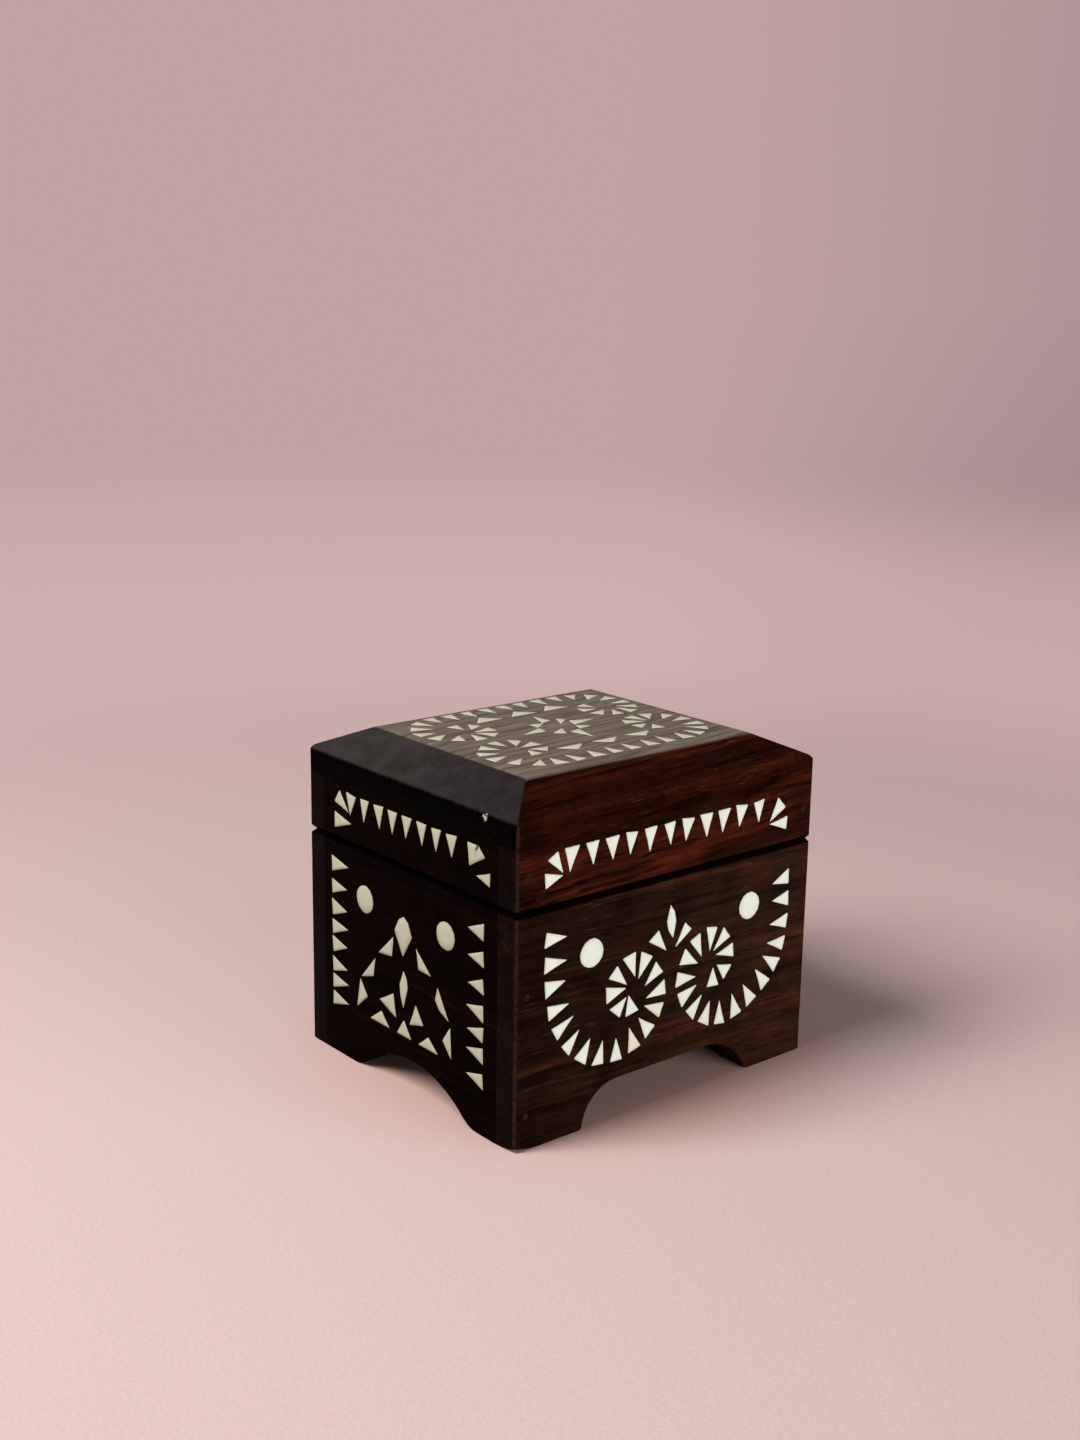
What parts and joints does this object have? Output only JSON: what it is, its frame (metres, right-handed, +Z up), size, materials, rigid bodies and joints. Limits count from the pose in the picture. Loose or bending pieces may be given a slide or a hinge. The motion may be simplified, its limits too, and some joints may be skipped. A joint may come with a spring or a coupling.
{
  "type": "inlaid wooden box",
  "caption": "Small hinged wooden box on cut-out feet, with a bevelled lid and inlaid triangles, dots and scrolls on every side.",
  "frame": {"origin": "middle of the footprint, on the surface that the feet stand on", "axes": "+X to the right along the front, +Y to the back, where the hinges are, +Z up"},
  "size_m": [0.102, 0.089, 0.09],
  "materials": {
    "body_wood": "dark reddish brown wood, oiled and waxed",
    "lid_wood": "dark reddish brown wood, oiled and waxed",
    "board_wood": "bare wood",
    "inlay": "polished bone, pale cream",
    "felt": "short felt",
    "brass": "dull brass",
    "nail": "steel heads, stained with the wood"
  },
  "bodies": {
    "body": {"back_crown": "inlay", "back_dots": "inlay", "back_left_glue_block": "board_wood", "back_left_scroll": "inlay", "back_panel": "body_wood", "back_panel_nails": "nail", "back_right_glue_block": "board_wood", "back_right_scroll": "inlay", "body_hinge_screws": "brass", "bottom_board": "board_wood", "floor_lining": "felt", "front_crown": "inlay", "front_dots": "inlay", "front_left_glue_block": "board_wood", "front_left_scroll": "inlay", "front_panel": "body_wood", "front_panel_nails": "nail", "front_right_glue_block": "board_wood", "front_right_scroll": "inlay", "left_columns": "inlay", "left_dots": "inlay", "left_figure": "inlay", "left_hinge_body_leaf": "brass", "left_hinge_pin": "brass", "left_panel": "body_wood", "right_columns": "inlay", "right_dots": "inlay", "right_figure": "inlay", "right_hinge_body_leaf": "brass", "right_hinge_pin": "brass", "right_panel": "body_wood"},
    "lid": {"left_hinge_lid_leaf": "brass", "lid_back_nails": "nail", "lid_back_rail": "lid_wood", "lid_back_teeth": "inlay", "lid_front_nails": "nail", "lid_front_rail": "lid_wood", "lid_front_teeth": "inlay", "lid_hinge_screws": "brass", "lid_left_rail": "lid_wood", "lid_left_teeth": "inlay", "lid_lining": "felt", "lid_right_rail": "lid_wood", "lid_right_teeth": "inlay", "right_hinge_lid_leaf": "brass", "top_back_band": "inlay", "top_board": "lid_wood", "top_flat_triangles": "inlay", "top_front_band": "inlay", "top_star": "inlay"}
  },
  "joints": [
    {"name": "lid_hinge", "type": "hinge", "parent": "body", "child": "lid", "pos_m": [0, 0.0429, 0.061], "axis": [-1, 0, 0], "range_deg": [0, 95]}
  ]
}
